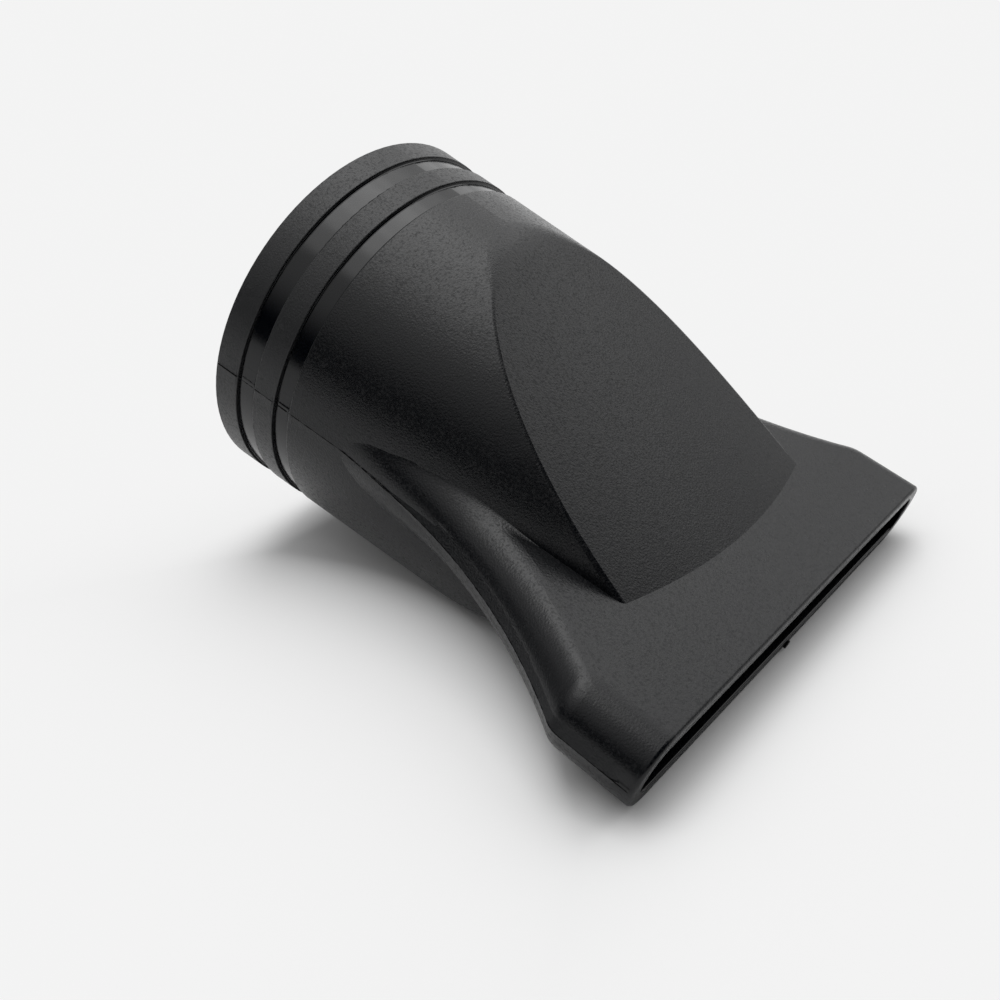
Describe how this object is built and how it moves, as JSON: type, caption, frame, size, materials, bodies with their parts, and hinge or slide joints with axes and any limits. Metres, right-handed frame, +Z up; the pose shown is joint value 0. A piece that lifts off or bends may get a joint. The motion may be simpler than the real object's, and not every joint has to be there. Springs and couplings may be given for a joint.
{
  "type": "hair dryer concentrator nozzle",
  "caption": "Moulded black plastic nozzle whose round grooved collar narrows through crowned faces to a wide, flared flat slot that concentrates a hair dryer's air.",
  "frame": {"origin": "on the table, under the middle of the part as it lies on its belly and its lower lip", "axes": "+X from the collar towards the mouth, along the table; +Y across the mouth; +Z up from the table"},
  "size_m": [0.0798, 0.0752, 0.0541],
  "materials": {
    "black_plastic": "fine spark-textured matte black, smoother in the collar's grooves"
  },
  "bodies": {
    "root": {"nozzle_body": "black_plastic"}
  },
  "joints": []
}
